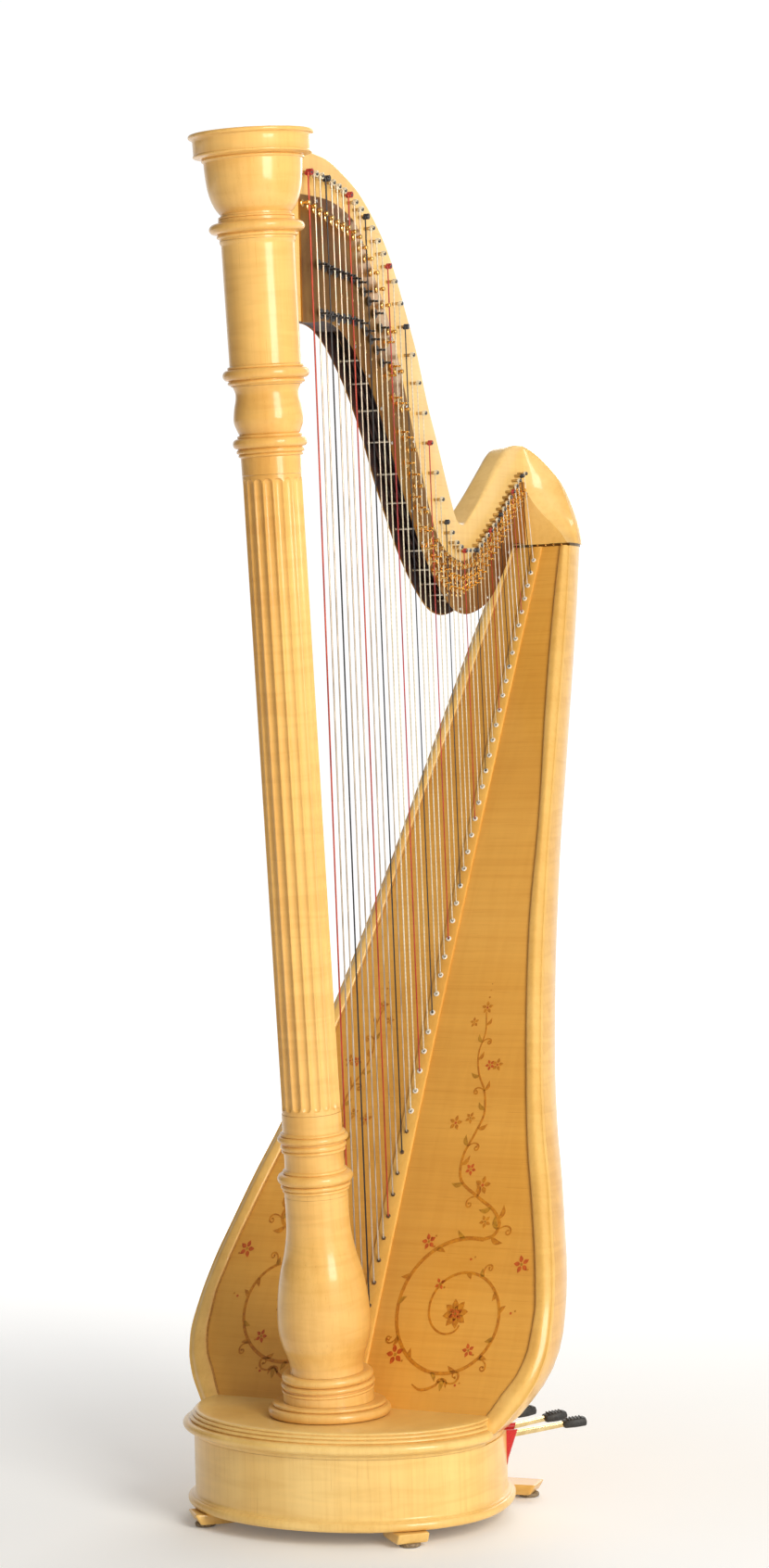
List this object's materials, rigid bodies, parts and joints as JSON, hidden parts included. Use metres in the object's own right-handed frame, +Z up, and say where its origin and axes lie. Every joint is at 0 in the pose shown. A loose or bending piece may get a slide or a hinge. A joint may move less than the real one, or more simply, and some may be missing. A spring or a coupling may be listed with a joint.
{
  "type": "pedal harp",
  "caption": "Concert pedal harp with a fluted column, curved neck with brass action plates, tapering soundbox, strings, and base with moving pedals.",
  "frame": {"origin": "middle of the bounding box in X and Y, on the floor plane under the four glides", "axes": "+Z up, +Y from the column towards the player, +X towards the side of the neck that carries the strings"},
  "size_m": [0.5698, 1.0258, 1.8499],
  "materials": {
    "maple": "clear gloss lacquer",
    "spruce": "clear satin-gloss lacquer",
    "inner_wood": "bare",
    "brass": "polished",
    "pedal_brass": "polished, worn",
    "steel": "plain",
    "rubber": "matt",
    "felt": "felt",
    "wire_strings": "wound steel, some coloured",
    "gut_strings": "varnished gut, some coloured",
    "nylon_strings": "clear nylon, some coloured"
  },
  "bodies": {
    "harp": {"action_plate_far_side": "brass", "action_plate_string_side": "brass", "base_drum": "maple", "base_floor": "inner_wood", "base_top": "maple", "body_bottom_block": "maple", "centre_strip": "maple", "column_base": "maple", "column_crown": "maple", "column_flange": "maple", "column_lower_collar": "maple", "column_shaft": "maple", "column_sleeve": "maple", "column_upper_collar": "maple", "column_vase": "maple", "foot_front_far_side": "maple", "foot_front_string_side": "maple", "foot_rear_far_side": "maple", "foot_rear_string_side": "maple", "inner_string_bar": "inner_wood", "neck_body": "maple", "pedal_brackets": "steel", "pedal_slot_felts": "felt", "pedal_springs": "steel", "shoulder_block": "maple", "shoulder_strip": "brass", "soundboard": "spruce", "soundbox_rib_lower": "inner_wood", "soundbox_rib_middle": "inner_wood", "soundbox_rib_upper": "inner_wood", "soundbox_shell": "maple", "soundbox_top_block": "inner_wood", "strings_gut": "gut_strings", "strings_nylon": "nylon_strings", "strings_wire": "wire_strings"},
    "pedal_d_lever": {"pedal_d": "pedal_brass", "pedal_cap_d": "rubber"},
    "pedal_c_lever": {"pedal_c": "pedal_brass", "pedal_cap_c": "rubber"},
    "pedal_b_lever": {"pedal_b": "pedal_brass", "pedal_cap_b": "rubber"},
    "pedal_e_lever": {"pedal_e": "pedal_brass", "pedal_cap_e": "rubber"},
    "pedal_f_lever": {"pedal_f": "pedal_brass", "pedal_cap_f": "rubber"},
    "pedal_g_lever": {"pedal_g": "pedal_brass", "pedal_cap_g": "rubber"},
    "pedal_a_lever": {"pedal_a": "pedal_brass", "pedal_cap_a": "rubber"},
    "rod_d": {"pedal_rod_d": "steel"},
    "rod_c": {"pedal_rod_c": "steel"},
    "rod_b": {"pedal_rod_b": "steel"},
    "rod_e": {"pedal_rod_e": "steel"},
    "rod_f": {"pedal_rod_f": "steel"},
    "rod_g": {"pedal_rod_g": "steel"},
    "rod_a": {"pedal_rod_a": "steel"},
    "c_natural": {"c_natural_disc": "brass"},
    "c_sharp": {"c_sharp_disc": "brass"},
    "f_natural": {"f_natural_disc": "brass"},
    "f_sharp": {"f_sharp_disc": "brass"}
  },
  "joints": [
    {"name": "pedal_d_hinge", "type": "hinge", "parent": "harp", "child": "pedal_d_lever", "pos_m": [0.09139, -0.23329, 0.089], "axis": [-0.607, 0.7947, 0], "range_deg": [0, 13.4], "stiffness_Nm_per_rad": 25, "springref_deg": -3.44},
    {"name": "pedal_c_hinge", "type": "hinge", "parent": "harp", "child": "pedal_c_lever", "pos_m": [0.07877, -0.2193, 0.089], "axis": [-0.7286, 0.6849, 0], "range_deg": [0, 13.4], "stiffness_Nm_per_rad": 25, "springref_deg": -3.44},
    {"name": "pedal_b_hinge", "type": "hinge", "parent": "harp", "child": "pedal_b_lever", "pos_m": [0.06174, -0.20607, 0.089], "axis": [-0.8437, 0.5369, 0], "range_deg": [0, 13.4], "stiffness_Nm_per_rad": 25, "springref_deg": -3.44},
    {"name": "pedal_e_hinge", "type": "hinge", "parent": "harp", "child": "pedal_e_lever", "pos_m": [-0.04303, -0.19645, 0.089], "axis": [-0.9274, -0.3742, 0], "range_deg": [0, 13.4], "stiffness_Nm_per_rad": 25, "springref_deg": -3.44},
    {"name": "pedal_f_hinge", "type": "hinge", "parent": "harp", "child": "pedal_f_lever", "pos_m": [-0.06047, -0.20528, 0.089], "axis": [-0.8506, -0.5258, 0], "range_deg": [0, 13.4], "stiffness_Nm_per_rad": 25, "springref_deg": -3.44},
    {"name": "pedal_g_hinge", "type": "hinge", "parent": "harp", "child": "pedal_g_lever", "pos_m": [-0.07693, -0.21762, 0.089], "axis": [-0.7433, -0.669, 0], "range_deg": [0, 13.4], "stiffness_Nm_per_rad": 25, "springref_deg": -3.44},
    {"name": "pedal_a_hinge", "type": "hinge", "parent": "harp", "child": "pedal_a_lever", "pos_m": [-0.09139, -0.23329, 0.089], "axis": [-0.607, -0.7947, 0], "range_deg": [0, 13.4], "stiffness_Nm_per_rad": 25, "springref_deg": -3.44},
    {"name": "rod_d_slide", "type": "slide", "parent": "harp", "child": "rod_d", "axis": [0, -0.075, 0.9972], "range_m": [0, 0.0145]},
    {"name": "rod_c_slide", "type": "slide", "parent": "harp", "child": "rod_c", "axis": [0, -0.075, 0.9972], "range_m": [0, 0.0145]},
    {"name": "rod_b_slide", "type": "slide", "parent": "harp", "child": "rod_b", "axis": [0, -0.075, 0.9972], "range_m": [0, 0.0145]},
    {"name": "rod_e_slide", "type": "slide", "parent": "harp", "child": "rod_e", "axis": [0, -0.075, 0.9972], "range_m": [0, 0.0145]},
    {"name": "rod_f_slide", "type": "slide", "parent": "harp", "child": "rod_f", "axis": [0, -0.075, 0.9972], "range_m": [0, 0.0145]},
    {"name": "rod_g_slide", "type": "slide", "parent": "harp", "child": "rod_g", "axis": [0, -0.075, 0.9972], "range_m": [0, 0.0145]},
    {"name": "rod_a_slide", "type": "slide", "parent": "harp", "child": "rod_a", "axis": [0, -0.075, 0.9972], "range_m": [0, 0.0145]},
    {"name": "c_natural_turn", "type": "hinge", "parent": "harp", "child": "c_natural", "pos_m": [0.009, -0.08107, 1.60113], "axis": [0.9985, 0.0555, 0], "range_deg": [0, 45.5]},
    {"name": "c_sharp_turn", "type": "hinge", "parent": "harp", "child": "c_sharp", "pos_m": [0.00882, -0.07796, 1.55503], "axis": [0.9985, 0.0555, 0], "range_deg": [0, 45.5]},
    {"name": "f_natural_turn", "type": "hinge", "parent": "harp", "child": "f_natural", "pos_m": [0.01298, -0.15269, 1.66409], "axis": [0.9985, 0.0555, 0], "range_deg": [0, 45.5]},
    {"name": "f_sharp_turn", "type": "hinge", "parent": "harp", "child": "f_sharp", "pos_m": [0.01277, -0.14905, 1.61027], "axis": [0.9985, 0.0555, 0], "range_deg": [0, 45.5]}
  ],
  "couplings": [
    {"joint": "rod_d_slide", "follows": "pedal_d_hinge", "m_per_rad": 0.061},
    {"joint": "rod_c_slide", "follows": "pedal_c_hinge", "m_per_rad": 0.061},
    {"joint": "rod_b_slide", "follows": "pedal_b_hinge", "m_per_rad": 0.061},
    {"joint": "rod_e_slide", "follows": "pedal_e_hinge", "m_per_rad": 0.061},
    {"joint": "rod_f_slide", "follows": "pedal_f_hinge", "m_per_rad": 0.061},
    {"joint": "rod_g_slide", "follows": "pedal_g_hinge", "m_per_rad": 0.061},
    {"joint": "rod_a_slide", "follows": "pedal_a_hinge", "m_per_rad": 0.061},
    {"joint": "c_natural_turn", "follows": "pedal_c_hinge", "ratio": 3.358},
    {"joint": "c_sharp_turn", "follows": "pedal_c_hinge", "ratio": 3.358},
    {"joint": "f_natural_turn", "follows": "pedal_f_hinge", "ratio": 3.358},
    {"joint": "f_sharp_turn", "follows": "pedal_f_hinge", "ratio": 3.358}
  ]
}
